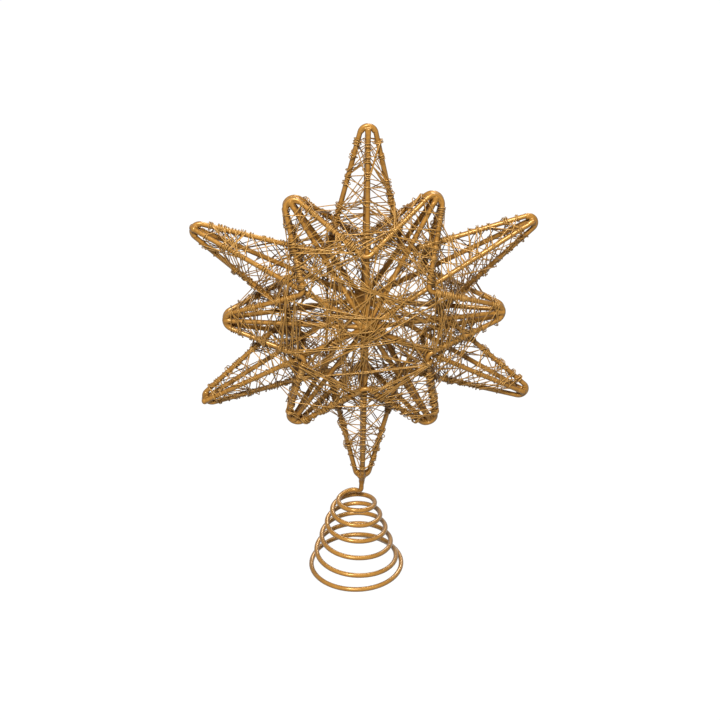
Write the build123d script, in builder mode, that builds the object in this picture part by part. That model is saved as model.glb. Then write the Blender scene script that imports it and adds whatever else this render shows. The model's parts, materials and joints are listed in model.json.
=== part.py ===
from build123d import *
import math
import os

import numpy as np

os.makedirs("parts", exist_ok=True)

# Wire stock, as diameters
frame_wire = 3.6
coil_wire = 3.7
fine_wire = 0.8

# Star frame, measured from the middle of the star
star_height = 211.8
star_side = 7.8
star_back = 9.0
long_reach = 138.0
short_reach = 102.4
long_valley = 55.0
short_valley = 51.0
hub_depth = 24.0
long_tip_bend = 5.4
short_tip_bend = 6.2
valley_bend = 5.0
seat_gap = 0.25
valley_lift = 0.5

# Solder pads where the ridges meet
hub_radius = 7.4
hub_rim = 2.0
hub_dome = 1.2

# Each point's tip is bent a little off its true place, as a share of its reach, from 1 to 12 o'clock
tip_shift_shares = [
    (-0.006, 0.006), (0.000, 0.006), (-0.016, -0.009), (0.011, 0.007),
    (-0.011, -0.031), (-0.015, 0.000), (-0.036, 0.012), (0.012, 0.011),
    (0.011, -0.033), (-0.002, -0.009), (-0.018, -0.011), (0.017, 0.006),
]

# Fine wire wound round each point, in two crossing layers
winding_gap = 0.34
layer_gap = 0.7
long_bare_tip = 11.0
short_bare_tip = 8.0
long_winding_margin = 18.0
short_winding_margin = 2.2
long_loops = 12
short_loops = 6

# Fine wire wound across the middle of the star, over its front and back
web_notch_out = 10.8
web_notch_spread = 1.6
web_middle_lift = 1.6
web_slope_share = 0.11
web_level_step = 1.45
web_crossover = 5.0
web_reach = 5
web_strands = 12
web_edge_bend = 1.6
web_middle_bend = 12.0

# Spring coil that slips over the leader of the tree
coil_turns = 6
coil_foot_radius = 37.1
coil_step = 4.18
coil_foot_pitch = 14.2
coil_top_pitch = 10.2
coil_flat_turns = 0.75
coil_joining_turn = 0.5
coil_top_rise = 1.6
foot_cut = 0.5
stem_side = 5.4
split_turns = (1, 3)

hours = range(1, 13)
hour_angle = 30
arc_steps = 6

# Sizes that follow from the driving ones
frame_radius = frame_wire / 2
tip_lap = frame_radius + seat_gap / 2
first_layer = frame_radius + winding_gap + fine_wire / 2
second_layer = first_layer + fine_wire + layer_gap
coil_foot_height = coil_wire / 2 - foot_cut
star_middle = Vector(star_side, star_back, star_height)


def save(part, name):
    """Label a finished piece and write it out."""
    part.label = name
    export_step(part, f"parts/{name}.step")


def is_long(hour):
    """The points at even hours are the long ones."""
    return hour % 2 == 0


def outward(hour):
    """Direction of a point of the star, in the plane of the star."""
    angle = math.radians(90 - hour_angle * hour)
    return Vector(math.cos(angle), 0, math.sin(angle))


def bend_corners(reach, valley, tip_bend):
    """Distances of the sharp corners whose rounded bends reach a tip and a valley, and the leg's angle."""
    half = math.radians(hour_angle)
    tip_centre = reach - frame_radius - tip_bend
    valley_centre = valley + valley_bend
    along = tip_centre - valley_centre * math.cos(half)
    across = valley_centre * math.sin(half)
    lean = math.atan2(across, along) - math.asin((tip_bend + valley_bend) / math.hypot(along, across))
    tip_corner = tip_centre + tip_bend / math.sin(lean)
    valley_corner = valley_centre - valley_bend / math.sin(lean + half)
    return tip_corner, valley_corner, lean


long_tip_corner, long_valley_corner, long_lean = bend_corners(long_reach, long_valley, long_tip_bend)
short_tip_corner, short_valley_corner, short_lean = bend_corners(short_reach, short_valley, short_tip_bend)


def reach_of(hour):
    """Distance of a point's tip from the middle of the star."""
    return long_reach if is_long(hour) else short_reach


def tip_bend(hour):
    """Bend of the outline at a point's tip."""
    return long_tip_bend if is_long(hour) else short_tip_bend


def tip_shift(hour):
    """How far a point's tip is bent off its true place."""
    across, up = tip_shift_shares[hour - 1]
    return Vector(across, 0, up) * reach_of(hour)


def tip_place(hour, distance):
    """A place near a tip, from the middle of the star, moved with the tip."""
    return outward(hour) * distance + tip_shift(hour)


def ridge_depth(hour, distance):
    """Depth of a ridge's centre line at a distance from the middle of the star."""
    return hub_depth - (hub_depth - tip_lap) * distance / (reach_of(hour) - frame_radius)


# The short outlines slope from their valleys, over the ridges, to bends that meet at the tips
valley_depth = ridge_depth(12, short_valley_corner) + frame_wire + seat_gap + valley_lift
short_bend_end = short_reach - frame_radius
short_run = short_bend_end - short_valley_corner * math.cos(math.radians(hour_angle))
short_slope = (valley_depth - tip_lap) / short_run
short_corner_depth = tip_lap - short_slope * (short_tip_corner - short_bend_end)


def long_corner(hour):
    """Corner of the long star's outline at an hour: a tip at even hours, a valley at odd ones."""
    return tip_place(hour, long_tip_corner) if is_long(hour) else outward(hour) * long_valley_corner


def short_corner(hour, side):
    """Corner of a short star's outline at an hour, on the front (-1) or the back (1)."""
    if is_long(hour):
        return outward(hour) * short_valley_corner + Vector(0, side * valley_depth, 0)
    return tip_place(hour, short_tip_corner) + Vector(0, side * short_corner_depth, 0)


def rounded_path(corners, bends):
    """Straight runs joined by tangent arcs, through corners that each have their own bend."""
    edges = []
    start = corners[0]
    for before, corner, after, bend in zip(corners, corners[1:], corners[2:], bends):
        arriving = (corner - before).normalized()
        leaving = (after - corner).normalized()
        setback = bend * math.tan(math.radians(arriving.get_angle(leaving)) / 2)
        edges.append(Line(start, corner - arriving * setback))
        edges.append(TangentArc(corner - arriving * setback, corner + leaving * setback, tangent=arriving))
        start = corner + leaving * setback
    edges.append(Line(start, corners[-1]))
    return edges


def biarc(start, start_way, end, end_way):
    """Two arcs that join two places, each with its own direction."""
    apart = end - start
    ways = start_way + end_way
    spread = 2 - 2 * start_way.dot(end_way)
    pull = apart.dot(ways)
    arm = (math.sqrt(pull * pull + spread * apart.dot(apart)) - pull) / spread
    first = start + start_way * arm
    second = end - end_way * arm
    middle = (first + second) * 0.5
    return [
        TangentArc(start, middle, tangent=start_way),
        TangentArc(middle, end, tangent=second - first),
    ]


def least_gap(edges, wire):
    """Smallest clear space between a wire and itself, measured on points along its path."""
    steps = [step / arc_steps for step in range(arc_steps)]
    corners = np.array([tuple(place) for edge in edges for place in edge.positions(steps)])
    runs = np.linalg.norm(np.diff(corners, axis=0), axis=1)
    along = np.concatenate([[0], np.cumsum(runs)])
    marks = np.arange(0, along[-1], wire / 2)
    points = np.column_stack([np.interp(marks, along, corners[:, axis]) for axis in range(3)])
    skip = 4 * arc_steps
    nearest = min(
        np.linalg.norm(points[skip + index:] - points[index], axis=1).min()
        for index in range(len(points) - skip)
    )
    return nearest - wire


def wire_end(edges):
    """Plane across the start of a path, for the wire's round section."""
    return Plane(origin=edges[0] @ 0, z_dir=edges[0] % 0)


def outline_half(corner_at, bend_at, first_hour):
    """Half of a closed outline, from the middle of one leg to the middle of the opposite one."""
    passed = [(first_hour + step - 1) % 12 + 1 for step in range(8)]
    corners = [star_middle + corner_at(hour) for hour in passed]
    corners[0] = (corners[0] + corners[1]) * 0.5
    corners[-1] = (corners[-1] + corners[-2]) * 0.5
    return rounded_path(corners, [bend_at(hour) for hour in passed[1:-1]])


def long_bend(hour):
    """Bend of the long star's outline at an hour."""
    return tip_bend(hour) if is_long(hour) else valley_bend


def short_bend(hour):
    """Bend of a short star's outline at an hour."""
    return valley_bend if is_long(hour) else tip_bend(hour)


# Outline of the long star: one wire in the middle plane, bent in two halves that meet end to end
with BuildPart() as long_star_outline:
    for first_hour in (12, 6):
        with BuildLine() as long_path:
            legs = outline_half(long_corner, long_bend, first_hour)
        with BuildSketch(wire_end(legs)):
            Circle(frame_radius)
        sweep(path=long_path.wire())
save(long_star_outline.part, "long_star_outline")

# Outlines of the short star: one wire over the front ridges, one over the back ridges
for side, face in ((-1, "front"), (1, "back")):
    with BuildPart() as short_star_outline:
        for first_hour in (12, 6):
            with BuildLine() as short_path:
                legs = outline_half(lambda hour: short_corner(hour, side), short_bend, first_hour)
            with BuildSketch(wire_end(legs)):
                Circle(frame_radius)
            sweep(path=short_path.wire())
    save(short_star_outline.part, f"short_star_outline_{face}")


def bend_centre(hour):
    """Centre of the outline's bend at a point's tip, in the plane of the star."""
    corners = []
    for passed in (hour, hour % 12 + 1, (hour - 2) % 12 + 1):
        corners.append(long_corner(passed) if is_long(hour) else short_corner(passed, 1))
    tip, *valleys = corners
    ways = [(valley - tip).normalized() for valley in valleys]
    half = math.radians(ways[0].get_angle(ways[1])) / 2
    centre = tip + (ways[0] + ways[1]).normalized() * (tip_bend(hour) / math.sin(half))
    return Vector(centre.X, 0, centre.Z)


def ridge_way(hour):
    """Direction of a point's ridges in the plane of the star, from the middle to the bend at the tip."""
    return bend_centre(hour).normalized()


def ridge_end(hour):
    """How far out a point's ridges reach, to seat inside the bend at the tip."""
    inside = tip_bend(hour) - frame_radius
    entry = math.sqrt(inside * inside - frame_radius * frame_radius)
    slope = 0 if is_long(hour) else short_slope
    return bend_centre(hour).length + entry / math.hypot(1, slope) - seat_gap


def ridge_place(hour, distance, side):
    """A place on a ridge's centre line."""
    depth = Vector(0, side * ridge_depth(hour, distance), 0)
    return star_middle + ridge_way(hour) * distance + depth


# Ridges: straight rods from the hubs to the tips, front and back
for side, face in ((-1, "front"), (1, "back")):
    for hour in hours:
        foot = ridge_place(hour, hub_radius + seat_gap, side)
        head = ridge_place(hour, ridge_end(hour), side)
        with BuildPart() as ridge:
            with BuildSketch(Plane(origin=foot, z_dir=head - foot)):
                Circle(frame_radius)
            extrude(amount=(head - foot).length)
        save(ridge.part, f"{face}_ridge_{hour:02d}")

# Hub pads: the solder that joins the ridges, a low dome on each face
for side, face in ((-1, "front"), (1, "back")):
    hub_plane = Plane(
        origin=star_middle + Vector(0, side * hub_depth, 0), x_dir=(1, 0, 0), z_dir=(0, side, 0)
    )
    with BuildPart() as hub_pad:
        with BuildSketch(hub_plane.offset(-hub_rim)):
            Circle(hub_radius)
        extrude(amount=2 * hub_rim)
        fillet(hub_pad.faces().sort_by(Axis.Y)[0 if side < 0 else -1].edges(), hub_dome)
    save(hub_pad.part, f"{face}_hub_pad")


def section_wires(hour, distance):
    """Where a point's frame wires cross a plane square to the point, going round, as (across, depth)."""
    way = ridge_way(hour)
    across = Vector(way.Z, 0, -way.X)
    corners = []
    for neighbour in (hour % 12 + 1, (hour - 2) % 12 + 1):
        tip = long_corner(hour) if is_long(hour) else short_corner(hour, 1)
        valley = long_corner(neighbour) if is_long(hour) else short_corner(neighbour, 1)
        share = (tip.dot(way) - distance) / (tip.dot(way) - valley.dot(way))
        leg = tip + (valley - tip) * share
        corners.append((leg.dot(across), leg.Y))
    (right, right_depth), (left, left_depth) = corners
    if is_long(hour):
        depth = ridge_depth(hour, distance)
        return [(right, 0), (0, -depth), (left, 0), (0, depth)]
    return [(right, -right_depth), (left, -left_depth), (left, left_depth), (right, right_depth)]


def strand_corner(hour, distance, turn, offset):
    """Corner of a strand that goes round a point's wires at an offset from their centre lines."""
    way = ridge_way(hour)
    across = Vector(way.Z, 0, -way.X)
    wires = [Vector(*wire) for wire in section_wires(hour, distance)]
    before, here, after = (wires[(turn + step) % len(wires)] for step in (-1, 0, 1))
    arriving = (here - before).normalized()
    leaving = (after - here).normalized()
    normals = [Vector(-run.Y, run.X) for run in (arriving, leaving)]
    if normals[0].dot(here) < 0:
        normals = [normal * -1 for normal in normals]
    corner = here + (normals[0] + normals[1]) * (offset / (1 + normals[0].dot(normals[1])))
    return star_middle + way * distance + across * corner.X + Vector(0, corner.Y, 0)


def winding_foot(hour):
    """How near the middle of the star a point's winding starts."""
    if is_long(hour):
        return short_valley + long_winding_margin
    notch = long_lean + math.radians(hour_angle)
    room = (frame_radius + winding_gap) / math.cos(notch)
    room += (second_layer + fine_wire) / math.cos(short_lean)
    meet = short_tip_corner * math.tan(short_lean) + long_valley_corner * math.tan(notch) + room
    return meet / (math.tan(short_lean) + math.tan(notch)) + short_winding_margin


# Point windings: down each point in one layer and back up over it in another
for hour in hours:
    loops = long_loops if is_long(hour) else short_loops
    top = reach_of(hour) - (long_bare_tip if is_long(hour) else short_bare_tip)
    rise = (top - winding_foot(hour)) / (4 * loops)
    corners = []
    bends = []
    for turn in range(8 * loops + 1):
        distance = top - rise * min(turn, 8 * loops - turn)
        climb_share = min(max((turn - 4 * loops + 2) / 4, 0), 1)
        offset = first_layer + (second_layer - first_layer) * climb_share
        corners.append(strand_corner(hour, distance, turn - 1, offset))
        bends.append(offset)
    with BuildPart() as winding:
        with BuildLine() as winding_path:
            strands = rounded_path(corners, bends[1:-1])
        with BuildSketch(wire_end(strands)):
            Circle(fine_wire / 2)
        sweep(path=winding_path.wire())
    print(f"point winding {hour}: least gap {least_gap(strands, fine_wire):.2f} mm")
    save(winding.part, f"point_winding_{hour:02d}")


def notch_place(notch, spread):
    """A place in the notch between an hour and the next, clear of where their outlines cross."""
    hour, next_hour = (notch - 1) % 12 + 1, notch % 12 + 1
    long_hour, short_hour = (hour, next_hour) if is_long(hour) else (next_hour, hour)
    long_tip, long_foot = long_corner(long_hour), long_corner(short_hour)
    short_tip, short_foot = short_corner(short_hour, 0), short_corner(long_hour, 0)
    long_leg = long_foot - long_tip
    short_leg = short_foot - short_tip
    apart = short_tip - long_tip
    share = (apart.X * short_leg.Z - apart.Z * short_leg.X) / (
        long_leg.X * short_leg.Z - long_leg.Z * short_leg.X
    )
    crossing = long_tip + long_leg * share
    out = ((long_tip - crossing).normalized() + (short_tip - crossing).normalized()).normalized()
    return crossing + out * web_notch_out + Vector(out.Z, 0, -out.X) * spread


def web_place(place, side, level):
    """A place on a strand, on a shallow cone in front of the ridges or behind them."""
    depth = hub_depth + web_middle_lift - web_slope_share * place.length + level
    return star_middle + place + Vector(0, side * depth, 0)


def web_strand(first_notch, last_notch, side, low):
    """Corners of a strand across one face, low in its first half and a step higher in its second."""
    start = notch_place(first_notch, -side * web_notch_spread / 2)
    end = notch_place(last_notch, side * web_notch_spread / 2)
    halfway = (start + end) * 0.5
    shift = (end - start).normalized() * web_crossover
    return [
        web_place(start, side, low),
        web_place(halfway - shift, side, low),
        web_place(halfway + shift, side, low + web_level_step),
        web_place(end, side, low + web_level_step),
    ]


# Middle windings: strands across the front and the back, round the notches between the points
for first_notch, name in ((0, "middle_winding_first"), (1, "middle_winding_second")):
    corners = []
    for strand in range(web_strands):
        side = -1 if strand % 2 == 0 else 1
        notch = first_notch + strand * web_reach
        corners += web_strand(notch, notch + web_reach, side, 2 * first_notch * web_level_step)
    bends = [web_edge_bend, web_middle_bend, web_middle_bend, web_edge_bend] * web_strands
    with BuildPart() as middle_winding:
        with BuildLine() as web_path:
            strands = rounded_path(corners, bends[1:-1])
        with BuildSketch(wire_end(strands)):
            Circle(fine_wire / 2)
        sweep(path=web_path.wire())
    print(f"{name}: least gap {least_gap(strands, fine_wire):.2f} mm")
    save(middle_winding.part, name)

# Spring coil: a conical spiral that ends in a flat foot, with its other end turned up into the stem
start_turn = -math.atan2(stem_side, star_back) / (2 * math.pi)
stem_radius = math.hypot(stem_side, star_back)


def coil_radius(turn):
    """Distance of the coil's centre line from its axis."""
    if turn >= coil_joining_turn:
        return coil_foot_radius - coil_step * (coil_turns - turn)
    share = (turn - start_turn) / (coil_joining_turn - start_turn)
    return stem_radius + (coil_radius(coil_joining_turn) - stem_radius) * share


def coil_height(turn):
    """Height of the coil's centre line, whose pitch eases from the foot to the top."""
    if turn >= coil_joining_turn:
        sprung_turns = coil_turns - coil_flat_turns - coil_joining_turn
        risen = max(coil_turns - coil_flat_turns - turn, 0)
        easing = (coil_foot_pitch - coil_top_pitch) * risen / (2 * sprung_turns)
        return coil_foot_height + (coil_foot_pitch - easing) * risen
    share = (coil_joining_turn - turn) / (coil_joining_turn - start_turn)
    return coil_height(coil_joining_turn) + coil_top_rise * share


def coil_place(turn):
    """A place on the coil's centre line, which starts at the back and turns to the left."""
    angle = 2 * math.pi * turn
    radius = coil_radius(turn)
    return Vector(-radius * math.sin(angle), radius * math.cos(angle), coil_height(turn))


def coil_way(turn):
    """Direction of the coil's centre line."""
    near_share = 0.01
    return (coil_place(turn + near_share) - coil_place(turn - near_share)).normalized()


def coil_stretch(first_turn, last_turn):
    """Quarter turns from one turn to another, with a straight end of one wire diameter at each."""
    place = coil_place(first_turn)
    way = coil_way(first_turn)
    if first_turn == start_turn:
        place, way = bend_end, bend_way
    edges = [Line(place, place + way * coil_wire)]
    place = place + way * coil_wire
    quarter = math.ceil(4 * first_turn) + 1
    while quarter <= 4 * last_turn:
        next_place = coil_place(quarter / 4)
        next_way = coil_way(quarter / 4)
        if quarter == 4 * last_turn:
            next_place = next_place - next_way * coil_wire
        edges += biarc(place, way, next_place, next_way)
        place = next_place
        way = next_way
        quarter += 1
    edges.append(Line(place, place + way * coil_wire))
    return edges


# The bend at the foot of the stem, where the wire turns from the coil to go up
start_way = coil_way(start_turn)
bend_way = Vector(start_way.X, start_way.Y, 0).normalized()
bend_end = coil_place(start_turn) + bend_way * coil_wire
stem_foot = coil_place(start_turn) + Vector(0, 0, coil_wire)
stem_head = star_middle + tip_place(6, long_reach) - Vector(0, 0, seat_gap)

# Coil, in the stretches that bend apart from each other; the lowest is cut flat where it stands
stretch_names = ("coil_top_turn", "coil_middle_turns", "coil_lower_turns")
stretch_ends = (start_turn, *split_turns, coil_turns)
for name, first_turn, last_turn in zip(stretch_names, stretch_ends, stretch_ends[1:]):
    with BuildPart() as coil:
        with BuildLine() as coil_path:
            turns = coil_stretch(first_turn, last_turn)
        with BuildSketch(wire_end(turns)):
            Circle(coil_wire / 2)
        sweep(path=coil_path.wire())
        if last_turn == coil_turns:
            split(bisect_by=Plane.XY, keep=Keep.TOP)
    print(f"{name}: least gap {least_gap(turns, coil_wire):.2f} mm")
    save(coil.part, name)

# Stem: the end of the coil's wire, turned up to the lowest tip of the star
with BuildPart() as stem:
    with BuildLine() as stem_path:
        stem_edges = biarc(bend_end, -bend_way, stem_foot, (stem_head - stem_foot).normalized())
        Line(stem_foot, stem_head)
    with BuildSketch(wire_end(stem_edges)):
        Circle(coil_wire / 2)
    sweep(path=stem_path.wire())
save(stem.part, "stem")
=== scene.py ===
from collections import namedtuple
import json
import math
import random

import bmesh
import bpy
from mathutils import Matrix, Vector, noise


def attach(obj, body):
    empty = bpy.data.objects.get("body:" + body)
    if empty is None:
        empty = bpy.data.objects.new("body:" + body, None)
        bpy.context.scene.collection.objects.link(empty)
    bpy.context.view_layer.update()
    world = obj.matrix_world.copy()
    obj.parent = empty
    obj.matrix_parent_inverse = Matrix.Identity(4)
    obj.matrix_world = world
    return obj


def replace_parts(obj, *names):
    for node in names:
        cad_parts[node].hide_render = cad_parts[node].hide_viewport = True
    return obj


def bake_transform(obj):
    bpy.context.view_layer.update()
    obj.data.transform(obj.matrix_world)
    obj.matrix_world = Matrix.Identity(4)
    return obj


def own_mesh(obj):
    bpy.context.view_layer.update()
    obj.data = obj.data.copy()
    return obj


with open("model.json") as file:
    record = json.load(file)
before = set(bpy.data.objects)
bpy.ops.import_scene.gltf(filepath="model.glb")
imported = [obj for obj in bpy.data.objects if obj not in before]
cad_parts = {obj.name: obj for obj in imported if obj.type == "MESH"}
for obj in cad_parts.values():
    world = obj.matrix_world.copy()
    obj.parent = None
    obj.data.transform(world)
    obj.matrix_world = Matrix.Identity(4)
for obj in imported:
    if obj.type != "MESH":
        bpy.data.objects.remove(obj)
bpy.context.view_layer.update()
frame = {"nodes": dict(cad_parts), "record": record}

# Sizes here are millimetres, and MM turns them into Blender's metres
MM = 0.001

# Wire stock, as radii
FRAME_RADIUS = 1.8
COIL_RADIUS = 1.85
FINE_RADIUS = 0.37

# Star frame, measured from the middle of the star
STAR_MIDDLE = Vector((7.8, 9.0, 211.8))
LONG_REACH = 138.0
SHORT_REACH = 102.4
LONG_VALLEY = 55.0
SHORT_VALLEY = 51.0
HUB_DEPTH = 24.0
LONG_TIP_BEND = 5.4
SHORT_TIP_BEND = 6.2
VALLEY_BEND = 5.0
TIP_LAP = 1.925
VALLEY_CLEARANCE = 4.35

# Each point's tip is bent a little off its true place, as a share of its reach, from 1 to 12 o'clock
TIP_SHIFT_SHARES = [
    (-0.006, 0.006), (0.000, 0.006), (-0.016, -0.009), (0.011, 0.007),
    (-0.011, -0.031), (-0.015, 0.000), (-0.036, 0.012), (0.012, 0.011),
    (0.011, -0.033), (-0.002, -0.009), (-0.018, -0.011), (0.017, 0.006),
]

# The star's points go by the hours of a clock, and its faces by their side along Y
HOURS = range(1, 13)
HOUR_DEGREES = 30
RIGHT_ANGLE_DEGREES = 90
FACE_NAMES = {-1: "front", 1: "back"}


# Frame wires of the star

def is_long(hour):
    """The points at even hours are the long ones."""
    return hour % 2 == 0


def clock(hour):
    """An hour brought back to 1 to 12."""
    return (hour - 1) % len(HOURS) + 1


def outward(hour):
    """Direction of a point of the star, in the plane of the star."""
    angle = math.radians(RIGHT_ANGLE_DEGREES - HOUR_DEGREES * hour)
    return Vector((math.cos(angle), 0, math.sin(angle)))


def bend_corners(reach, valley, bend):
    """Distances of the sharp corners whose rounded bends reach a tip and a valley."""
    half = math.radians(HOUR_DEGREES)
    tip_centre = reach - FRAME_RADIUS - bend
    valley_centre = valley + VALLEY_BEND
    along = tip_centre - valley_centre * math.cos(half)
    across = valley_centre * math.sin(half)
    lean = math.atan2(across, along) - math.asin((bend + VALLEY_BEND) / math.hypot(along, across))
    tip_corner = tip_centre + bend / math.sin(lean)
    valley_corner = valley_centre - VALLEY_BEND / math.sin(lean + half)
    return tip_corner, valley_corner


LONG_TIP_CORNER, LONG_VALLEY_CORNER = bend_corners(LONG_REACH, LONG_VALLEY, LONG_TIP_BEND)
SHORT_TIP_CORNER, SHORT_VALLEY_CORNER = bend_corners(SHORT_REACH, SHORT_VALLEY, SHORT_TIP_BEND)


def reach_of(hour):
    """Distance of a point's tip from the middle of the star."""
    return LONG_REACH if is_long(hour) else SHORT_REACH


def tip_bend(hour):
    """Bend of the outline at a point's tip."""
    return LONG_TIP_BEND if is_long(hour) else SHORT_TIP_BEND


def tip_place(hour, distance):
    """A place near a tip, from the middle of the star, moved with the bent tip."""
    across, up = TIP_SHIFT_SHARES[hour - 1]
    return outward(hour) * distance + Vector((across, 0, up)) * reach_of(hour)


def ridge_depth(hour, distance):
    """Depth of a ridge's centre line at a distance from the middle of the star."""
    return HUB_DEPTH - (HUB_DEPTH - TIP_LAP) * distance / (reach_of(hour) - FRAME_RADIUS)


# The short outlines slope from their valleys, over the long points' ridges, to bends that meet at the tips
VALLEY_DEPTH = ridge_depth(12, SHORT_VALLEY_CORNER) + VALLEY_CLEARANCE
SHORT_BEND_END = SHORT_REACH - FRAME_RADIUS
SHORT_VALLEY_ALONG = SHORT_VALLEY_CORNER * math.cos(math.radians(HOUR_DEGREES))
SHORT_SLOPE = (VALLEY_DEPTH - TIP_LAP) / (SHORT_BEND_END - SHORT_VALLEY_ALONG)


def short_depth(distance):
    """Depth of a short outline's leg at a distance along its point."""
    return TIP_LAP + SHORT_SLOPE * (SHORT_BEND_END - distance)


def long_corner(hour):
    """Corner of the long star's outline: a tip at even hours, a valley at odd ones."""
    hour = clock(hour)
    return tip_place(hour, LONG_TIP_CORNER) if is_long(hour) else outward(hour) * LONG_VALLEY_CORNER


def short_corner(hour, face):
    """Corner of a short star's outline on a face: a tip at odd hours, a valley at even ones."""
    hour = clock(hour)
    if is_long(hour):
        return outward(hour) * SHORT_VALLEY_CORNER + Vector((0, face * VALLEY_DEPTH, 0))
    return tip_place(hour, SHORT_TIP_CORNER) + Vector((0, face * short_depth(SHORT_TIP_CORNER), 0))


def leg(hour, step, face):
    """A point's straight leg towards the next hour (step 1) or the last one (step -1), tip first."""
    if is_long(hour):
        return long_corner(hour), long_corner(hour + step)
    return short_corner(hour, face), short_corner(hour + step, face)


def bend_centre(hour):
    """Centre of the outline's bend at a point's tip, in the plane of the star."""
    passed = (hour, hour + 1, hour - 1)
    tip, *valleys = [long_corner(h) if is_long(hour) else short_corner(h, 1) for h in passed]
    first, second = ((valley - tip).normalized() for valley in valleys)
    half = first.angle(second) / 2
    centre = tip + (first + second).normalized() * (tip_bend(hour) / math.sin(half))
    return Vector((centre.x, 0, centre.z))


def ridge_way(hour):
    """Direction of a point's ridges in the plane of the star."""
    return bend_centre(hour).normalized()


def ridge(hour, face):
    """A point's ridge on one face, tip first."""
    reach = reach_of(hour) - FRAME_RADIUS
    head = ridge_way(hour) * reach + Vector((0, face * TIP_LAP, 0))
    return head, Vector((0, face * HUB_DEPTH, 0))


def place_on(wire, way, distance):
    """Place on a straight wire, at a distance along a point's direction, and the wire's own direction."""
    tip, foot = wire
    share = (tip.dot(way) - distance) / (tip.dot(way) - foot.dot(way))
    return tip.lerp(foot, share), (tip - foot).normalized()


# Gold paint

# The Mix node has sockets of one name for values and for colours, so they go by number
VALUE_A, VALUE_B, VALUE_RESULT = 2, 3, 0
COLOUR_A, COLOUR_B, COLOUR_RESULT = 6, 7, 2

MOTTLE_DETAIL = 4
MOTTLE_ROUGHNESS = 0.65
MOTTLE_LOW = 0.3
MOTTLE_HIGH = 0.7
GRAIN_SCALE = 2600
GRAIN_DETAIL = 2
GRAIN_DEPTH = 0.05
PAINT_METALLIC = 0.05
PAINT_SPECULAR = 0.75
PAINT_SPECULAR_TINT = (1, 0.72, 0.36)
# Painted shade: the colour is mixed towards brown where the surface turns away from the view, darkening
# the wires' edges
EDGE_SHADE_BLEND = 0.5
EDGE_SHADE_BROWN = (0.045, 0.016, 0.002)


def paint_grain():
    """Node group: the mottled tone, sheen and fine texture of brushed-on gold paint."""
    group = bpy.data.node_groups.new("gold_paint_grain", "ShaderNodeTree")
    for name, kind, value in (
        ("Light", "NodeSocketColor", (1, 1, 1, 1)), ("Dark", "NodeSocketColor", (0, 0, 0, 1)),
        ("Mottle Scale", "NodeSocketFloat", 220), ("Smooth", "NodeSocketFloat", 0.3),
        ("Rough", "NodeSocketFloat", 0.5),
    ):
        group.interface.new_socket(name, in_out="INPUT", socket_type=kind).default_value = value
    for name, kind in (
        ("Color", "NodeSocketColor"), ("Roughness", "NodeSocketFloat"), ("Height", "NodeSocketFloat"),
    ):
        group.interface.new_socket(name, in_out="OUTPUT", socket_type=kind)
    nodes, links = group.nodes, group.links
    inputs = nodes.new("NodeGroupInput")
    outputs = nodes.new("NodeGroupOutput")
    place = nodes.new("ShaderNodeTexCoord")
    mottle = nodes.new("ShaderNodeTexNoise")
    mottle.inputs["Detail"].default_value = MOTTLE_DETAIL
    mottle.inputs["Roughness"].default_value = MOTTLE_ROUGHNESS
    grain = nodes.new("ShaderNodeTexNoise")
    grain.inputs["Scale"].default_value = GRAIN_SCALE
    grain.inputs["Detail"].default_value = GRAIN_DETAIL
    spread = nodes.new("ShaderNodeMapRange")
    spread.inputs["From Min"].default_value = MOTTLE_LOW
    spread.inputs["From Max"].default_value = MOTTLE_HIGH
    tone = nodes.new("ShaderNodeMix")
    tone.data_type = "RGBA"
    sheen = nodes.new("ShaderNodeMix")
    links.new(place.outputs["Object"], mottle.inputs["Vector"])
    links.new(place.outputs["Object"], grain.inputs["Vector"])
    links.new(inputs.outputs["Mottle Scale"], mottle.inputs["Scale"])
    links.new(mottle.outputs["Fac"], spread.inputs["Value"])
    links.new(spread.outputs["Result"], tone.inputs["Factor"])
    links.new(inputs.outputs["Dark"], tone.inputs[COLOUR_A])
    links.new(inputs.outputs["Light"], tone.inputs[COLOUR_B])
    links.new(grain.outputs["Fac"], sheen.inputs["Factor"])
    links.new(inputs.outputs["Smooth"], sheen.inputs[VALUE_A])
    links.new(inputs.outputs["Rough"], sheen.inputs[VALUE_B])
    links.new(tone.outputs[COLOUR_RESULT], outputs.inputs["Color"])
    links.new(sheen.outputs[VALUE_RESULT], outputs.inputs["Roughness"])
    links.new(grain.outputs["Fac"], outputs.inputs["Height"])
    return group


PAINT_GRAIN = paint_grain()


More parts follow.
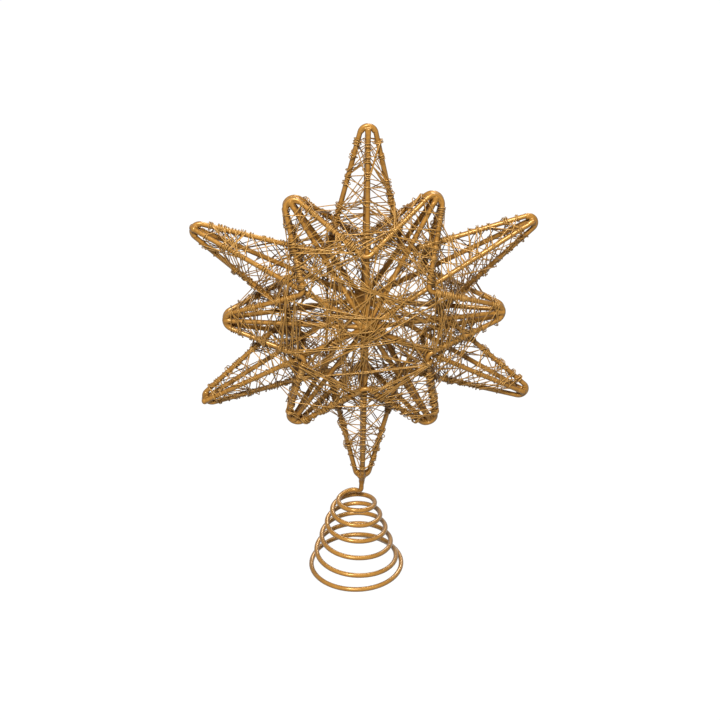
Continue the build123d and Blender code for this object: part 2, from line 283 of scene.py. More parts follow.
def gold_paint(name, light, dark, smooth, rough, mottle_scale, relief):
    """Satin gold paint over wire or solder, with painted shade that browns its colour where the surface
    turns away from the view.
    """
    material = bpy.data.materials.new(name)
    material.use_nodes = True
    nodes, links = material.node_tree.nodes, material.node_tree.links
    shader = nodes["Principled BSDF"]
    shader.inputs["Metallic"].default_value = PAINT_METALLIC
    shader.inputs["Specular IOR Level"].default_value = PAINT_SPECULAR
    shader.inputs["Specular Tint"].default_value = (*PAINT_SPECULAR_TINT, 1)
    grain = nodes.new("ShaderNodeGroup")
    grain.node_tree = PAINT_GRAIN
    grain.inputs["Light"].default_value = (*light, 1)
    grain.inputs["Dark"].default_value = (*dark, 1)
    grain.inputs["Mottle Scale"].default_value = mottle_scale
    grain.inputs["Smooth"].default_value = smooth
    grain.inputs["Rough"].default_value = rough
    bump = nodes.new("ShaderNodeBump")
    bump.inputs["Strength"].default_value = relief
    bump.inputs["Distance"].default_value = GRAIN_DEPTH * MM
    # Painted shade at the edges: the colour browns as the surface turns away from the view
    turned = nodes.new("ShaderNodeLayerWeight")
    turned.inputs["Blend"].default_value = EDGE_SHADE_BLEND
    edge_shade = nodes.new("ShaderNodeMix")
    edge_shade.data_type = "RGBA"
    edge_shade.inputs[COLOUR_B].default_value = (*EDGE_SHADE_BROWN, 1)
    links.new(turned.outputs["Facing"], edge_shade.inputs["Factor"])
    links.new(grain.outputs["Color"], edge_shade.inputs[COLOUR_A])
    links.new(edge_shade.outputs[COLOUR_RESULT], shader.inputs["Base Color"])
    links.new(grain.outputs["Roughness"], shader.inputs["Roughness"])
    links.new(grain.outputs["Height"], bump.inputs["Height"])
    links.new(bump.outputs["Normal"], shader.inputs["Normal"])
    return material


GOLD_OF_SLOT = {
    "frame_wire": gold_paint(
        "frame_gold", light=(0.44, 0.205, 0.036), dark=(0.27, 0.12, 0.018),
        smooth=0.2, rough=0.36, mottle_scale=240, relief=0.4,
    ),
    "fine_wire": gold_paint(
        "fine_gold", light=(0.57, 0.30, 0.075), dark=(0.32, 0.155, 0.03),
        smooth=0.22, rough=0.36, mottle_scale=300, relief=0.2,
    ),
    "coil_wire": gold_paint(
        "coil_gold", light=(0.47, 0.22, 0.04), dark=(0.38, 0.17, 0.028),
        smooth=0.18, rough=0.28, mottle_scale=160, relief=0.3,
    ),
    "solder": gold_paint(
        "solder_gold", light=(0.44, 0.205, 0.036), dark=(0.27, 0.12, 0.018),
        smooth=0.2, rough=0.36, mottle_scale=500, relief=0.6,
    ),
}

for subpart in frame["record"]["subparts"]:
    cad_piece = frame["nodes"][subpart["node"]]
    cad_piece.data.materials.clear()
    cad_piece.data.materials.append(GOLD_OF_SLOT[subpart["material_slot"]])


# Pieces made of wire

# How round a wire's section is, as Blender's bevel resolution
FINE_ROUNDING = 1
COIL_ROUNDING = 5


def link(name, data):
    """A new object in the scene."""
    new_object = bpy.data.objects.new(name, data)
    bpy.context.scene.collection.objects.link(new_object)
    return new_object


def finished_piece(name, mesh, body, slot):
    """A finished piece that rides on a body, if one is given, and takes its finish from a slot."""
    piece = link(name, mesh)
    mesh.materials.clear()
    mesh.materials.append(GOLD_OF_SLOT[slot])
    mesh.shade_smooth()
    if body:
        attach(piece, body)
    return piece


def wire_mesh(name, paths, radius, rounding):
    """Mesh of round wire along one or more paths."""
    curve = bpy.data.curves.new(name, "CURVE")
    curve.dimensions = "3D"
    curve.bevel_depth = radius * MM
    curve.bevel_resolution = rounding
    curve.use_fill_caps = True
    for path in paths:
        spline = curve.splines.new("POLY")
        spline.points.add(len(path) - 1)
        for point, place in zip(spline.points, path):
            point.co = (*(place * MM), 1)
    holder = link(name + "_path", curve)
    mesh = bpy.data.meshes.new_from_object(holder)
    bpy.data.objects.remove(holder)
    bpy.data.curves.remove(curve)
    mesh.name = name
    return mesh


def fine_wire_piece(name, paths):
    """Fine wire along paths that are measured from the middle of the star."""
    paths = [[STAR_MIDDLE + place for place in path] for path in paths]
    mesh = wire_mesh(name, paths, FINE_RADIUS, FINE_ROUNDING)
    return finished_piece(mesh.name, mesh, "star", "fine_wire")


# How fine wire bends round the frame wires

WRAP_GAP = 0.03
WRAP_RADIUS = FRAME_RADIUS + FINE_RADIUS + WRAP_GAP
ARC_STEP = math.radians(28)
RUN_SHARES = (0.2, 0.4, 0.6, 0.8)
TAIL_LENGTHS = (2, 6)
SPIRAL_SLACK = 0.2

# A place where a strand bends; without a frame wire along it, the strand only passes there
Contact = namedtuple("Contact", "place along turns pitch slack", defaults=(None, 0, 0, 0))

# How strands are tied: choices of extra turns, the most pitch of a turn, and choices of slack
Tie = namedtuple("Tie", "turns pitch slacks")


def tied(place, along, tie, rng):
    """A contact tied in one of the ways that a tie gives."""
    turns = rng.choice(tie.turns)
    pitch = rng.uniform(-tie.pitch, tie.pitch)
    return Contact(place, along, turns, pitch, rng.choice(tie.slacks))


def wrap(before, contact, after):
    """Points of a strand bent round a frame wire, on the side that its pull brings it against."""
    place, along, turns, pitch, slack = contact
    if along is None:
        return [place]
    arriving = (place - before).normalized()
    leaving = (after - place).normalized()
    side = 1 if arriving.cross(leaving).dot(along) >= 0 else -1
    axis = along * side
    start = arriving.cross(axis).normalized()
    end = leaving.cross(axis).normalized()
    angle = math.atan2(start.cross(end).dot(axis), start.dot(end)) % math.tau + math.tau * turns
    climb = along * pitch * angle / math.tau
    steps = max(2, math.ceil(angle / ARC_STEP))
    points = []
    for step in range(steps + 1):
        share = step / steps
        turned = Matrix.Rotation(angle * share, 3, axis) @ start
        points.append(place + turned * (WRAP_RADIUS + slack) + climb * (share - 0.5))
    return points


def strand_path(contacts, rng, sway_share):
    """Path of a fine wire round its contacts, with each run between them bowed a little."""
    path = []
    for before, contact, after in zip(contacts, contacts[1:], contacts[2:]):
        arc = wrap(before.place, contact, after.place)
        if path:
            start = path[-1]
            run = arc[0] - start
            bow = run.orthogonal().normalized() * run.length * sway_share * rng.uniform(-1, 1)
            bow.rotate(Matrix.Rotation(rng.uniform(0, math.tau), 3, run.normalized()))
            path += [start + run * share + bow * 4 * share * (1 - share) for share in RUN_SHARES]
        path += arc
    return path


def loose_strand(contacts, rng, sway_share):
    """Path of a fine wire round its contacts, whose cut ends stand out a little."""
    path = strand_path(contacts, rng, sway_share)
    first = (path[0] - path[1]).normalized() * rng.uniform(*TAIL_LENGTHS)
    last = (path[-1] - path[-2]).normalized() * rng.uniform(*TAIL_LENGTHS)
    return [path[0] + first, *path, path[-1] + last]


def spiral(wire, way, start, end, pitch, rng):
    """Path of a fine wire that winds along a straight frame wire, with its ends tucked in."""
    turns = abs(end - start) / pitch
    spin = rng.choice((-1, 1)) * math.tau
    phase = rng.random()
    steps = math.ceil(turns * math.tau / ARC_STEP)
    path = []
    for step in range(steps + 1):
        share = step / steps
        place, along = place_on(wire, way, start + (end - start) * share)
        tucked_in = step in (0, steps)
        out = FRAME_RADIUS - FINE_RADIUS if tucked_in else WRAP_RADIUS + rng.uniform(0, SPIRAL_SLACK)
        side = along.orthogonal().normalized() * out
        path.append(place + Matrix.Rotation(spin * (phase + turns * share), 3, along) @ side)
    return path


# Fine wire wound round each point

# Bends of a winding, the pace and stray of each, the winding's ends and its longest spiral along a leg
PointWinding = namedtuple("PointWinding", "bends pace stray foot bare_tip longest_spiral")
LONG_WINDING = PointWinding(bends=112, pace=3.1, stray=11.0, foot=46.0, bare_tip=12.0, longest_spiral=44)
SHORT_WINDING = PointWinding(bends=88, pace=2.3, stray=9.0, foot=48.0, bare_tip=8.5, longest_spiral=20)
POINT_SWAY_SHARE = 0.02
PACE_SHARES = (0.6, 1.4)
SWEEP_POWER = 1.4
TURN_BACK_CHANCE = 0.12

# Choices of extra turns and slack where a strand holds on to a frame wire
RIDGE_TURNS = (0, 0, 0, 0, 0, 1)
LEG_TURNS = (0, 0, 0, 0, 1, 1, 2)
HOLD_PITCHES = (0.9, 2.2)
HOLD_SLACKS = (0, 0, 0.1, 0.3, 0.7, 1.3)

# Spirals along the legs start at their feet, and on long points also end near the tip
LEG_SPIRAL_STARTS = (46, 56)
LEG_SPIRAL_SHORTEST = 10
LEG_SPIRAL_PITCHES = (4.5, 9)
TIP_SPIRAL_LENGTHS = (8, 22)
TIP_SPIRAL_PITCHES = (4, 8)

# Long spirals along the ridges
RIDGE_STRANDS = 2
RIDGE_SPIRAL_STARTS = (13, 24)
RIDGE_SPIRAL_ENDS = (40, 66)
RIDGE_SPIRAL_PITCHES = (16, 40)


def winding_of(hour):
    """Sizes of a point's winding."""
    return LONG_WINDING if is_long(hour) else SHORT_WINDING


def winding_top(hour):
    """Distance from the middle of the star at which a point's winding stops."""
    return reach_of(hour) - winding_of(hour).bare_tip


def point_wires(hour):
    """The frame wires that a point's winding goes round, in order."""
    if is_long(hour):
        return [leg(hour, 1, 0), ridge(hour, -1), leg(hour, -1, 0), ridge(hour, 1)]
    return [leg(hour, 1, -1), leg(hour, -1, -1), leg(hour, -1, 1), leg(hour, 1, 1)]


def hold(rng, on_ridge):
    """How a strand holds on to a frame wire: extra turns, their pitch and slack."""
    turns = rng.choice(RIDGE_TURNS if on_ridge else LEG_TURNS)
    return turns, rng.choice((-1, 1)) * rng.uniform(*HOLD_PITCHES), rng.choice(HOLD_SLACKS)


def point_contacts(hour, rng):
    """Where a point's winding bends as it sweeps up and down the point, round and round it."""
    way = ridge_way(hour)
    wires = point_wires(hour)
    winding = winding_of(hour)
    foot = winding.foot
    height = winding_top(hour) - foot
    contacts = []
    wire = rng.randrange(len(wires))
    swept, spin = 0, 1
    for _ in range(winding.bends):
        share = abs(swept / height % 2 - 1) ** SWEEP_POWER
        distance = foot + height * share + rng.gauss(0, winding.stray)
        place, along = place_on(wires[wire], way, min(max(distance, foot), winding_top(hour)))
        contacts.append(Contact(place, along, *hold(rng, is_long(hour) and wire % 2 == 1)))
        swept += winding.pace * rng.uniform(*PACE_SHARES)
        spin = -spin if rng.random() < TURN_BACK_CHANCE else spin
        wire = (wire + spin) % len(wires)
    return contacts


def frame_spirals(hour, rng):
    """Fine wire that winds along stretches of a point's legs and runs along its ridges."""
    way = ridge_way(hour)
    legs = point_wires(hour)[::2] if is_long(hour) else point_wires(hour)
    longest = winding_of(hour).longest_spiral
    paths = []
    for wire in legs:
        start = rng.uniform(*LEG_SPIRAL_STARTS)
        end = start + rng.uniform(LEG_SPIRAL_SHORTEST, longest)
        paths.append(spiral(wire, way, start, end, rng.uniform(*LEG_SPIRAL_PITCHES), rng))
        if is_long(hour):
            end = winding_top(hour) - rng.uniform(0, longest)
            start = end - rng.uniform(*TIP_SPIRAL_LENGTHS)
            paths.append(spiral(wire, way, start, end, rng.uniform(*TIP_SPIRAL_PITCHES), rng))
    for face in FACE_NAMES:
        for _ in range(RIDGE_STRANDS):
            start = rng.uniform(*RIDGE_SPIRAL_STARTS)
            end = rng.uniform(*RIDGE_SPIRAL_ENDS)
            pitch = rng.uniform(*RIDGE_SPIRAL_PITCHES)
            paths.append(spiral(ridge(hour, face), way, start, end, pitch, rng))
    return paths


for hour in HOURS:
    rng = random.Random(f"point {hour}")
    paths = [loose_strand(point_contacts(hour, rng), rng, POINT_SWAY_SHARE)]
    piece = fine_wire_piece(f"fine_wire_point_{hour:02d}", paths + frame_spirals(hour, rng))
    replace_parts(piece, f"point_winding_{hour:02d}")


# Fine wire across the middle of the star

# Strands pulled across a face are tied to legs within a ring, and pass within a reach of the hub
WEB_BUNDLES = 24
WEB_INNER = 54.0
WEB_OUTER = 82.0
WEB_REACH = 44.0
WEB_TIE = Tie(turns=(1, 1, 2), pitch=2, slacks=(0, 0.2))
WEB_LIFT = 2.2
WEB_SWAY_SHARE = 0.008
BUNDLE_STRANDS = (1, 2, 2, 3)
BUNDLE_TURN = 0.03
BUNDLE_SPREAD = 1.8

# A wire that wanders from ridge to ridge
NET_BENDS = 30
NET_STARTS = (20, 50)
NET_HOUR_STEPS = (1, 1, 1, -1, 2, 2)
NET_STRAY = 13
NET_INNER = 16
NET_OUTER = 64
NET_TIE = Tie(turns=(0, 0, 0, 1), pitch=2, slacks=(0, 0.3))
NET_SWAY_SHARE = 0.015

# Wires across the foot of a long point, and across the notches beside it
VALLEY_BENDS = 7
VALLEY_DISTANCES = (46, 92)
VALLEY_TIE = Tie(turns=(0, 0, 1), pitch=3, slacks=(0, 0.3))
VALLEY_LIFT = 1.5
VALLEY_SWAY_SHARE = 0.01
NOTCH_BENDS = 7
NOTCH_DISTANCES = (60, 88)
NOTCH_SHORT_SIDE_SHARE = 0.92
NOTCH_TIE = Tie(turns=(0, 1), pitch=3, slacks=(0, 0.3))
NOTCH_SWAY_SHARE = 0.02

# Strands and wires that run nearly side by side, or meet at a strand's end, don't count as crossing
SIDE_BY_SIDE = 1e-6
END_SHARE = 0.02


def plan_crossing(start, end, wire):
    """Shares along a strand and along a wire where they cross, seen from the front, or None."""
    run = end - start
    tip, foot = wire
    across = foot - tip
    turn = run.x * across.z - run.z * across.x
    if abs(turn) < SIDE_BY_SIDE:
        return None
    apart = tip - start
    share = (apart.x * across.z - apart.z * across.x) / turn
    wire_share = (apart.x * run.z - apart.z * run.x) / turn
    if END_SHARE < share < 1 - END_SHARE and 0 <= wire_share <= 1:
        return share, wire_share
    return None


def both_legs(hour, face):
    """The two legs of a point."""
    return [leg(hour, 1, face), leg(hour, -1, face)]


def face_wires(face):
    """The frame wires of one face that a strand across the middle can lie on."""
    wires = [ridge(hour, face) for hour in HOURS]
    for hour in HOURS:
        if not is_long(hour):
            wires += both_legs(hour, face)
    return wires


def taut_bends(start, end, face, lift):
    """Where a strand pulled tight across a face bends over the frame wires under it."""
    bends = [(0.0, start.y * face)]
    rest = FRAME_RADIUS + FINE_RADIUS + lift
    for wire in face_wires(face):
        crossing = plan_crossing(start, end, wire)
        if crossing:
            share, wire_share = crossing
            bends.append((share, wire[0].lerp(wire[1], wire_share).y * face + rest))
    bends = sorted(bends) + [(1.0, end.y * face)]
    hull = []
    for bend in bends:
        while len(hull) > 1:
            (first, low), (second, high) = hull[-2], hull[-1]
            if (second - first) * (bend[1] - low) < (bend[0] - first) * (high - low):
                break
            hull.pop()
        hull.append(bend)
    places = []
    for share, depth in hull[1:-1]:
        place = start.lerp(end, share)
        place.y = depth * face
        places.append(Contact(place))
    return places


def chord_contacts(angle, offset, face, rng):
    """Bends of a strand pulled across a face, at an angle and at a distance from the hub."""
    way = Vector((math.cos(angle), 0, math.sin(angle)))
    middle = Vector((-math.sin(angle), 0, math.cos(angle))) * offset
    start, end = middle - way * LONG_REACH, middle + way * LONG_REACH
    near, far = [], []
    for hour in HOURS:
        for wire in both_legs(hour, face):
            crossing = plan_crossing(start, end, wire)
            if crossing:
                share, wire_share = crossing
                place = wire[0].lerp(wire[1], wire_share)
                if WEB_INNER < math.hypot(place.x, place.z) < WEB_OUTER:
                    contact = tied(place, (wire[0] - wire[1]).normalized(), WEB_TIE, rng)
                    (near if share < 0.5 else far).append(contact)
    if not near or not far:
        return []
    first, last = rng.choice(near), rng.choice(far)
    behind = Vector((0, -face * HUB_DEPTH, 0))
    bends = taut_bends(first.place, last.place, face, rng.uniform(0, WEB_LIFT))
    return [Contact(first.place + behind), first, *bends, last, Contact(last.place + behind)]


def web_paths(face, rng):
    """Strands across a face in every direction, in bundles of one to three."""
    paths = []
    for bundle in range(WEB_BUNDLES):
        angle = math.pi * (bundle + rng.random()) / WEB_BUNDLES
        offset = rng.triangular(-WEB_REACH, WEB_REACH, 0)
        for _ in range(rng.choice(BUNDLE_STRANDS)):
            strand_angle = angle + rng.gauss(0, BUNDLE_TURN)
            contacts = chord_contacts(strand_angle, offset + rng.gauss(0, BUNDLE_SPREAD), face, rng)
            if contacts:
                paths.append(strand_path(contacts, rng, WEB_SWAY_SHARE))
    return paths


def net_contacts(face, rng):
    """Bends of a wire that wanders round one face from ridge to ridge."""
    contacts = []
    hour = rng.choice(HOURS)
    distance = rng.uniform(*NET_STARTS)
    for _ in range(NET_BENDS):
        place, along = place_on(ridge(clock(hour), face), ridge_way(clock(hour)), distance)
        contacts.append(tied(place, along, NET_TIE, rng))
        hour += rng.choice(NET_HOUR_STEPS)
        distance = min(max(distance + rng.gauss(0, NET_STRAY), NET_INNER), NET_OUTER)
    return contacts


def valley_contacts(hour, face, rng):
    """Bends of a wire that crosses a long point's foot, between the legs of the short points beside it."""
    contacts = []
    for bend in range(VALLEY_BENDS):
        short_hour, step = (clock(hour - 1), 1) if bend % 2 else (clock(hour + 1), -1)
        wire = leg(short_hour, step, face)
        place, along = place_on(wire, ridge_way(short_hour), rng.uniform(*VALLEY_DISTANCES))
        if contacts:
            contacts += taut_bends(contacts[-1].place, place, face, rng.uniform(0, VALLEY_LIFT))
        contacts.append(tied(place, along, VALLEY_TIE, rng))
    return contacts


def notch_contacts(notch, rng):
    """Bends of a wire that bridges the notch between a long and a short point."""
    hour, next_hour = clock(notch), clock(notch + 1)
    long_hour, short_hour, step = (hour, next_hour, 1) if is_long(hour) else (next_hour, hour, -1)
    contacts = []
    for bend in range(NOTCH_BENDS):
        distance = rng.uniform(*NOTCH_DISTANCES)
        if bend % 2 == 0:
            place, along = place_on(leg(long_hour, step, 0), ridge_way(long_hour), distance)
        else:
            wire = leg(short_hour, -step, rng.choice((-1, 1)))
            place, along = place_on(wire, ridge_way(short_hour), distance * NOTCH_SHORT_SIDE_SHARE)
        contacts.append(tied(place, along, NOTCH_TIE, rng))
    return contacts


# The two windings take every other long point's foot and every other notch
LONG_HOURS = [hour for hour in HOURS if is_long(hour)]
for number, node in enumerate(("middle_winding_first", "middle_winding_second")):
    rng = random.Random(node)
    paths = []
    for face in FACE_NAMES:
        paths += web_paths(face, rng)
        paths.append(loose_strand(net_contacts(face, rng), rng, NET_SWAY_SHARE))
        for hour in LONG_HOURS[number::2]:
            paths.append(loose_strand(valley_contacts(hour, face, rng), rng, VALLEY_SWAY_SHARE))
    for notch in range(number, len(HOURS), 2):
        paths.append(loose_strand(notch_contacts(notch, rng), rng, NOTCH_SWAY_SHARE))
    piece = fine_wire_piece(f"fine_wire_{node}", paths)
    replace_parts(piece, node)


# Solder at the hubs and tips

Rod = namedtuple("Rod", "start end start_radius end_radius")
Bead = namedtuple("Bead", "centre radius")
ROD_SIDES = 20
BEAD_SUBDIVISIONS = 2
SOLDER_VOXEL = 0.42
FLOW_PASSES = 6
LUMP_SCALE = 350

# Hub: rods over the ridges' ends, a bead in the middle and a ring of beads round it
HUB_LUMP = 0.5
HUB_ROD_START = 1.0
HUB_ROD_ENDS = (9, 11)
HUB_ROD_SWELL = 0.3
HUB_ROD_SKIN = 0.02
HUB_BEAD_RADIUS = 3.0
HUB_BEAD_OUT = 0.4
HUB_RING_DISTANCES = (2.2, 4.6)
HUB_RING_RADII = (1.6, 2.3)

# Tip: beads in the bend, and rods over the ridges' ends
TIP_LUMP = 0.35
TIP_BEAD_DEGREES = (-64, -40, -18, 0, 18, 40, 64)
TIP_BEAD_STRAY = 6
TIP_BEAD_INSET = 0.7
TIP_BEAD_SWELLS = (0.15, 0.5)
TIP_DEPTH_SHARE = 0.8
TIP_ROD_LENGTHS = (8, 11)
TIP_ROD_INSET = 0.6
TIP_ROD_SWELL = 0.4
TIP_ROD_SKIN = 0.01

# A ridge's end that stands out past its bend is covered, and joined to the bend
COVER_INSET = 1.2
COVER_SWELL = 0.8
JOINT_SWELL = 0.5

# Neck: a cup and a sleeve that lead the lowest point into the stem
NECK_HOUR = 6
CUP_RISE, CUP_DROP = 2.4, 1.6
CUP_RADIUS = 4.2
CUP_SWELL = 0.5
SLEEVE_RISE, SLEEVE_DROP = 0.4, 5.5
SLEEVE_RADIUS = 2.8
SLEEVE_SKIN = 0.02


def solder_piece(name, rods, beads, lump):
    """A piece of solder that has run together over short rods and beads."""
    shape = bmesh.new()
    for rod in rods:
        run = rod.end - rod.start
        turn = run.to_track_quat("Z", "Y").to_matrix().to_4x4()
        place = Matrix.Translation((STAR_MIDDLE + (rod.start + rod.end) / 2) * MM) @ turn
        bmesh.ops.create_cone(
            shape, cap_ends=True, segments=ROD_SIDES, radius1=rod.start_radius * MM,
            radius2=rod.end_radius * MM, depth=run.length * MM, matrix=place,
        )
    for bead in beads:
        place = Matrix.Translation((STAR_MIDDLE + bead.centre) * MM)
        bmesh.ops.create_icosphere(
            shape, subdivisions=BEAD_SUBDIVISIONS, radius=bead.radius * MM, matrix=place,
        )
    rough = bpy.data.meshes.new(name)
    shape.to_mesh(rough)
    shape.free()
    holder = link(name + "_rough", rough)
    remesh = holder.modifiers.new("run_together", "REMESH")
    remesh.mode = "VOXEL"
    remesh.voxel_size = SOLDER_VOXEL * MM
    smooth = holder.modifiers.new("flow", "SMOOTH")
    smooth.iterations = FLOW_PASSES
    mesh = bpy.data.meshes.new_from_object(holder.evaluated_get(bpy.context.evaluated_depsgraph_get()))
    bpy.data.objects.remove(holder)
    bpy.data.meshes.remove(rough)
    mesh.name = name
    for vertex in mesh.vertices:
        swell = noise.noise(vertex.co * LUMP_SCALE) * lump * MM
        vertex.co += vertex.normal * swell
    return finished_piece(name, mesh, "star", "solder")


def hub_solder(face):
    """The lump where the ridges of a face meet, with their ends run into it."""
    rng = random.Random(f"hub {face}")
    middle = Vector((0, face * HUB_DEPTH, 0))
    rods = []
    for hour in HOURS:
        head, foot = ridge(hour, face)
        way = (head - foot).normalized()
        start, end = foot + way * HUB_ROD_START, foot + way * rng.uniform(*HUB_ROD_ENDS)
        rods.append(Rod(start, end, FRAME_RADIUS + HUB_ROD_SWELL, FRAME_RADIUS + HUB_ROD_SKIN))
    beads = [Bead(middle + Vector((0, face * HUB_BEAD_OUT, 0)), HUB_BEAD_RADIUS)]
    for hour in HOURS:
        centre = middle + outward(hour) * rng.uniform(*HUB_RING_DISTANCES)
        beads.append(Bead(centre, rng.uniform(*HUB_RING_RADII)))
    piece = solder_piece(f"{FACE_NAMES[face]}_hub_solder", rods, beads, HUB_LUMP)
    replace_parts(piece, f"{FACE_NAMES[face]}_hub_pad")


def neck_rods():
    """The cup and the sleeve of solder round the stem's head."""
    neck = tip_place(NECK_HOUR, LONG_REACH)
    up = Vector((0, 0, 1))
    return [
        Rod(neck + up * CUP_RISE, neck - up * CUP_DROP, CUP_RADIUS, COIL_RADIUS + CUP_SWELL),
        Rod(neck + up * SLEEVE_RISE, neck - up * SLEEVE_DROP, SLEEVE_RADIUS, COIL_RADIUS + SLEEVE_SKIN),
    ]


def tip_solder(hour):
    """The solder that fills the bend at a tip and holds the ridges' ends."""
    rng = random.Random(f"tip {hour}")
    way = ridge_way(hour)
    across = Vector((way.z, 0, -way.x))
    centre = bend_centre(hour)
    bend = tip_bend(hour)
    beads = []
    # A long tip has one bend, in the middle plane, and a short tip has one on each face
    bend_faces = (0,) if is_long(hour) else FACE_NAMES
    for face in bend_faces:
        for degrees in TIP_BEAD_DEGREES:
            angle = math.radians(degrees + rng.uniform(-TIP_BEAD_STRAY, TIP_BEAD_STRAY))
            place = centre + (way * math.cos(angle) + across * math.sin(angle)) * (bend - TIP_BEAD_INSET)
            depth = face * short_depth(place.dot(way)) * TIP_DEPTH_SHARE
            radius = FRAME_RADIUS + rng.uniform(*TIP_BEAD_SWELLS)
            beads.append(Bead(place + Vector((0, depth, 0)), radius))
    bend_top = centre + way * bend
    rods = []
    for face in FACE_NAMES:
        head, foot = ridge(hour, face)
        slope = (head - foot).normalized()
        start, end = head - slope * rng.uniform(*TIP_ROD_LENGTHS), head - slope * TIP_ROD_INSET
        rods.append(Rod(start, end, FRAME_RADIUS + TIP_ROD_SKIN, FRAME_RADIUS + TIP_ROD_SWELL))
        if is_long(hour) and head.dot(way) > bend_top.dot(way):
            beads.append(Bead(head - slope * COVER_INSET, FRAME_RADIUS + COVER_SWELL))
            beads.append(Bead((bend_top + head) / 2, FRAME_RADIUS + JOINT_SWELL))
    if hour == NECK_HOUR:
        rods += neck_rods()
    solder_piece(f"tip_solder_{hour:02d}", rods, beads, TIP_LUMP)


for face in FACE_NAMES:
    hub_solder(face)
for hour in HOURS:
    tip_solder(hour)


# Spring coil

COIL_TURNS = 6
COIL_FOOT_RADIUS = 37.1
COIL_STEP = 4.18
COIL_FOOT_PITCH = 14.2
COIL_TOP_PITCH = 10.2
COIL_FLAT_TURNS = 0.75
COIL_JOINING_TURN = 0.5
COIL_TOP_RISE = 1.6
COIL_CUT = 0.5
COIL_PRESS = 15.0
COIL_STEPS_A_TURN = 72

# Turns at which the coil is divided into its top, middle and lower pieces
TOP_SPLIT, LOWER_SPLIT = 1, 3

# The top turn starts at the bend under the stem, and a smooth lead joins it to the coil
STEM_SIDE = 5.4
STEM_BEND = 2 * COIL_RADIUS
STEM_FOOT_RADIUS = math.hypot(STEM_SIDE, STAR_MIDDLE.y)
START_TURN = -math.atan2(STEM_SIDE, STAR_MIDDLE.y) / math.tau
TURN_NUDGE = 0.01
LEAD_END_TURN = 0.25
LEAD_ARM_SHARE = 0.36
LEAD_STEPS = 16


def coil_radius(turn):
    """Distance of the coil's centre line from its axis."""
    if turn >= COIL_JOINING_TURN:
        return COIL_FOOT_RADIUS - COIL_STEP * (COIL_TURNS - turn)
    share = (turn - START_TURN) / (COIL_JOINING_TURN - START_TURN)
    return STEM_FOOT_RADIUS + (coil_radius(COIL_JOINING_TURN) - STEM_FOOT_RADIUS) * share


def coil_height(turn):
    """Height of the coil's centre line, whose pitch eases from the foot to the top."""
    if turn >= COIL_JOINING_TURN:
        sprung_turns = COIL_TURNS - COIL_FLAT_TURNS - COIL_JOINING_TURN
        risen = max(COIL_TURNS - COIL_FLAT_TURNS - turn, 0)
        easing = (COIL_FOOT_PITCH - COIL_TOP_PITCH) * risen / (2 * sprung_turns)
        return max(COIL_RADIUS - COIL_CUT + (COIL_FOOT_PITCH - easing) * risen, COIL_RADIUS)
    share = (COIL_JOINING_TURN - turn) / (COIL_JOINING_TURN - START_TURN)
    return coil_height(COIL_JOINING_TURN) + COIL_TOP_RISE * share


def coil_place(turn):
    """A place on the coil's centre line, which starts at the back and turns to the left."""
    angle = math.tau * turn
    radius = coil_radius(turn)
    return Vector((-radius * math.sin(angle), radius * math.cos(angle), coil_height(turn)))


def coil_path(first_turn, last_turn):
    """Centre line of a stretch of the coil."""
    steps = math.ceil((last_turn - first_turn) * COIL_STEPS_A_TURN)
    return [coil_place(first_turn + (last_turn - first_turn) * step / steps) for step in range(steps + 1)]


def top_path():
    """Centre line of the top turn, which leaves the bend at the foot of the stem level and straight."""
    way = coil_place(START_TURN + TURN_NUDGE) - coil_place(START_TURN - TURN_NUDGE)
    way.z = 0
    way.normalize()
    start = coil_place(START_TURN) + way * STEM_BEND
    joined = coil_path(LEAD_END_TURN, TOP_SPLIT)
    leave = (joined[1] - joined[0]).normalized()
    arm = (joined[0] - start).length * LEAD_ARM_SHARE
    lead = []
    for step in range(LEAD_STEPS):
        share = step / LEAD_STEPS
        rest = 1 - share
        lead.append(
            start * rest**3 + (start + way * arm) * 3 * rest**2 * share
            + (joined[0] - leave * arm) * 3 * rest * share**2 + joined[0] * share**3
        )
    return lead + joined


def coil_piece(name, path):
    """A stretch of the coil that stands for its CAD node."""
    mesh = wire_mesh(f"{name}_wire", [path], COIL_RADIUS, COIL_ROUNDING)
    piece = finished_piece(mesh.name, mesh, None, "coil_wire")
    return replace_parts(piece, name)


lower_coil = coil_piece("coil_lower_turns", coil_path(LOWER_SPLIT, COIL_TURNS))
middle_coil = coil_piece("coil_middle_turns", coil_path(TOP_SPLIT, LOWER_SPLIT))
top_coil = coil_piece("coil_top_turn", top_path())
press_keep = 1 - COIL_PRESS / coil_height(LOWER_SPLIT)
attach(lower_coil, "coil_base")
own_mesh(lower_coil)
for piece, below, above, low_turn, high_turn in (
    (middle_coil, "coil_middle", "coil_top", LOWER_SPLIT, TOP_SPLIT),
    (top_coil, "coil_top", "star", TOP_SPLIT, START_TURN),
):
    low = (0, 0, coil_height(low_turn) * MM)
    high = (0, 0, coil_height(high_turn) * MM)
    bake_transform(piece)


# Stage, light and camera, with places in metres

FLOOR_SIZE = 6
FLOOR_GREY = (0.3, 0.3, 0.3)
FLOOR_ROUGHNESS = 0.9
FLOOR_GLOW = 1.1
FLOOR_GLOW_SHARE = 0.92
WHITE = (1, 1, 1, 1)
ROOM_LIGHT = 0.06
BACKGROUND_LIGHT = 1

# Soft lights: name, place, size and power in watts
SOFT_LIGHTS = (
    ("key", (-0.25, -1.05, 1.5), 0.4, 41),
    ("top", (0.3, 0.1, 1.7), 0.5, 11),
    ("back", (0.4, 1.3, 1.3), 0.6, 18),
)

CAMERA_PLACE = (-0.0383, -0.8195, 0.5963)
CAMERA_LENS = 64.09
CAMERA_SENSOR = 36
CAMERA_DOWN_DEGREES = 26.97
CAMERA_RIGHT_DEGREES = 2.95


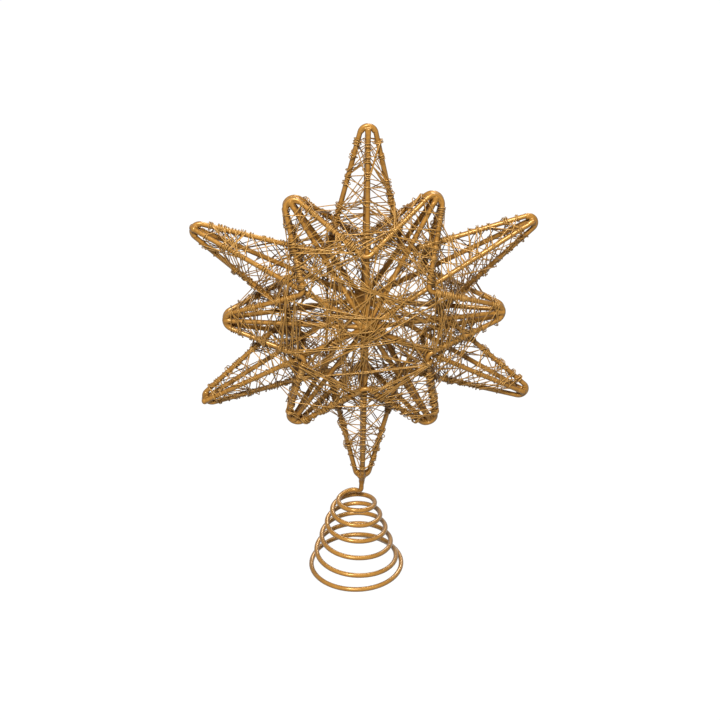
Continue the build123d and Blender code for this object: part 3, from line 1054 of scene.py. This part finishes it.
def background_rays(nodes, links):
    """A mask of the rays that see the white background: camera, glossy and transmission rays."""
    rays = nodes.new("ShaderNodeLightPath")
    glossy = nodes.new("ShaderNodeMath")
    glossy.operation = "MAXIMUM"
    seen = nodes.new("ShaderNodeMath")
    seen.operation = "MAXIMUM"
    links.new(rays.outputs["Is Glossy Ray"], glossy.inputs[0])
    links.new(rays.outputs["Is Transmission Ray"], glossy.inputs[1])
    links.new(rays.outputs["Is Camera Ray"], seen.inputs[0])
    links.new(glossy.outputs[0], seen.inputs[1])
    return seen.outputs[0]


def pale_floor():
    """Material of the floor: white to the background rays, but for a share that keeps the shadow."""
    material = bpy.data.materials.new("pale_floor")
    material.use_nodes = True
    nodes, links = material.node_tree.nodes, material.node_tree.links
    matt = nodes["Principled BSDF"]
    matt.inputs["Base Color"].default_value = (*FLOOR_GREY, 1)
    matt.inputs["Roughness"].default_value = FLOOR_ROUGHNESS
    glow = nodes.new("ShaderNodeEmission")
    glow.inputs["Strength"].default_value = FLOOR_GLOW
    mix = nodes.new("ShaderNodeMixShader")
    share = nodes.new("ShaderNodeMath")
    share.operation = "MULTIPLY"
    share.inputs[1].default_value = FLOOR_GLOW_SHARE
    links.new(background_rays(nodes, links), share.inputs[0])
    links.new(share.outputs[0], mix.inputs["Fac"])
    links.new(matt.outputs[0], mix.inputs[1])
    links.new(glow.outputs[0], mix.inputs[2])
    links.new(mix.outputs[0], nodes["Material Output"].inputs["Surface"])
    return material


def floor():
    """A plain pale floor that keeps a soft shadow."""
    shape = bmesh.new()
    bmesh.ops.create_grid(shape, x_segments=1, y_segments=1, size=FLOOR_SIZE)
    mesh = bpy.data.meshes.new("floor")
    shape.to_mesh(mesh)
    shape.free()
    mesh.materials.append(pale_floor())
    piece = link("floor", mesh)


def studio_world():
    """White behind the object, and an even low light around it."""
    world = bpy.data.worlds.new("studio")
    bpy.context.scene.world = world
    world.use_nodes = True
    nodes, links = world.node_tree.nodes, world.node_tree.links
    room = nodes["Background"]
    room.inputs["Color"].default_value = WHITE
    room.inputs["Strength"].default_value = ROOM_LIGHT
    white = nodes.new("ShaderNodeBackground")
    white.inputs["Color"].default_value = WHITE
    white.inputs["Strength"].default_value = BACKGROUND_LIGHT
    mix = nodes.new("ShaderNodeMixShader")
    links.new(background_rays(nodes, links), mix.inputs["Fac"])
    links.new(room.outputs[0], mix.inputs[1])
    links.new(white.outputs[0], mix.inputs[2])
    links.new(mix.outputs[0], nodes["World Output"].inputs["Surface"])


def soft_light(name, place, size, power):
    """A square soft light aimed at the middle of the star."""
    lamp = bpy.data.lights.new(name, "AREA")
    lamp.size = size
    lamp.energy = power
    holder = link(name, lamp)
    holder.location = place
    aim = STAR_MIDDLE * MM - Vector(place)
    holder.rotation_euler = aim.to_track_quat("-Z", "Y").to_euler()


def camera():
    """The camera at the photograph's viewing angle."""
    data = bpy.data.cameras.new("camera")
    data.sensor_width = CAMERA_SENSOR
    data.lens = CAMERA_LENS
    holder = link("camera", data)
    holder.location = CAMERA_PLACE
    tilt = math.radians(RIGHT_ANGLE_DEGREES - CAMERA_DOWN_DEGREES)
    holder.rotation_euler = (tilt, 0, math.radians(-CAMERA_RIGHT_DEGREES))
    bpy.context.scene.camera = holder


floor()
studio_world()
for light in SOFT_LIGHTS:
    soft_light(*light)
camera()
bpy.context.scene.view_settings.view_transform = "Standard"
